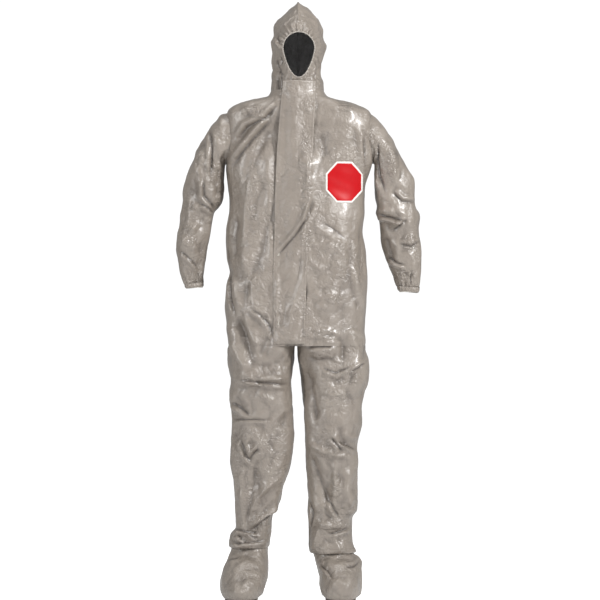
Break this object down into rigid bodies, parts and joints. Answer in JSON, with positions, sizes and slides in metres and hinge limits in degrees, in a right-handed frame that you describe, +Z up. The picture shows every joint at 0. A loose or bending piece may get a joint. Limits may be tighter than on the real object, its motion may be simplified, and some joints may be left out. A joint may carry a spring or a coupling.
{
  "type": "chemical protective suit",
  "caption": "Hooded one-piece coverall of grey laminated cloth with a storm flap over the front zip, elastic face and cuffs, sock boots under splash flaps and an eight-sided chest badge.",
  "frame": {"origin": "on the floor, at the middle of the suit's plan", "axes": "+Z up, front towards -Y, the wearer's left towards +X"},
  "size_m": [0.78, 0.34, 1.88],
  "materials": {
    "laminate": "satin laminated film, crumpled",
    "laminate_sole": "satin",
    "elastic": "matte",
    "zip_tape": "matte",
    "zip_coil": "satin",
    "zip_metal": "satin",
    "adhesive": "matte",
    "badge_white": "gloss",
    "badge_red": "gloss"
  },
  "bodies": {
    "suit_body": {"front_right_panel": "laminate", "front_left_panel": "laminate", "back_panel": "laminate", "hood_right_half": "laminate", "hood_left_half": "laminate", "face_elastic": "elastic", "right_zip_tape": "zip_tape", "left_zip_tape": "zip_tape", "right_zip_teeth": "zip_coil", "left_zip_teeth": "zip_coil", "right_top_stop": "zip_metal", "left_top_stop": "zip_metal", "zip_bottom_stop": "zip_metal", "badge_backing": "badge_white", "badge_face": "badge_red"},
    "flap": {"storm_flap": "laminate", "adhesive_strip": "adhesive"},
    "slider": {"zip_slider": "zip_metal"},
    "puller": {"zip_puller": "zip_metal"},
    "right_upper_arm": {"right_upper_sleeve": "laminate"},
    "right_forearm": {"right_lower_sleeve": "laminate", "right_cuff": "laminate", "right_wrist_elastic": "elastic"},
    "right_upper_leg": {"right_thigh": "laminate"},
    "right_lower_leg": {"right_shin": "laminate", "right_sock_boot": "laminate", "right_sole": "laminate_sole"},
    "left_upper_arm": {"left_upper_sleeve": "laminate"},
    "left_forearm": {"left_lower_sleeve": "laminate", "left_cuff": "laminate", "left_wrist_elastic": "elastic"},
    "left_upper_leg": {"left_thigh": "laminate"},
    "left_lower_leg": {"left_shin": "laminate", "left_sock_boot": "laminate", "left_sole": "laminate_sole"}
  },
  "joints": [
    {"name": "storm_flap_hinge", "type": "hinge", "parent": "suit_body", "child": "flap", "pos_m": [0.014, -0.1069, 0.803], "axis": [0.0377, 0.0341, 0.9987], "range_deg": [0, 140]},
    {"name": "zip_slide", "type": "slide", "parent": "suit_body", "child": "slider", "axis": [0, -0.0342, -0.9994], "range_m": [0, 0.715], "deforming": ["right_zip_teeth", "left_zip_teeth"]},
    {"name": "puller_tilt", "type": "hinge", "parent": "slider", "child": "puller", "pos_m": [-0.018, -0.08517, 1.5705], "axis": [-1, 0, 0], "range_deg": [0, 5]},
    {"name": "right_shoulder", "type": "hinge", "parent": "suit_body", "child": "right_upper_arm", "pos_m": [-0.236, 0.036, 1.45], "axis": [-1, 0, 0], "range_deg": [-20, 80]},
    {"name": "right_elbow", "type": "hinge", "parent": "right_upper_arm", "child": "right_forearm", "pos_m": [-0.326, -0.022, 1.222], "axis": [-1, 0, 0], "range_deg": [0, 80]},
    {"name": "right_hip", "type": "hinge", "parent": "suit_body", "child": "right_upper_leg", "pos_m": [-0.123, -0.105, 0.8], "axis": [-1, 0, 0], "range_deg": [0, 60]},
    {"name": "right_knee", "type": "hinge", "parent": "right_upper_leg", "child": "right_lower_leg", "pos_m": [-0.123, 0.098, 0.47], "axis": [1, 0, 0], "range_deg": [0, 80]},
    {"name": "left_shoulder", "type": "hinge", "parent": "suit_body", "child": "left_upper_arm", "pos_m": [0.236, 0.036, 1.45], "axis": [-1, 0, 0], "range_deg": [-20, 80]},
    {"name": "left_elbow", "type": "hinge", "parent": "left_upper_arm", "child": "left_forearm", "pos_m": [0.313, -0.022, 1.222], "axis": [-1, 0, 0], "range_deg": [0, 80]},
    {"name": "left_hip", "type": "hinge", "parent": "suit_body", "child": "left_upper_leg", "pos_m": [0.098, -0.105, 0.8], "axis": [-1, 0, 0], "range_deg": [0, 60]},
    {"name": "left_knee", "type": "hinge", "parent": "left_upper_leg", "child": "left_lower_leg", "pos_m": [0.098, 0.098, 0.47], "axis": [1, 0, 0], "range_deg": [0, 80]}
  ]
}
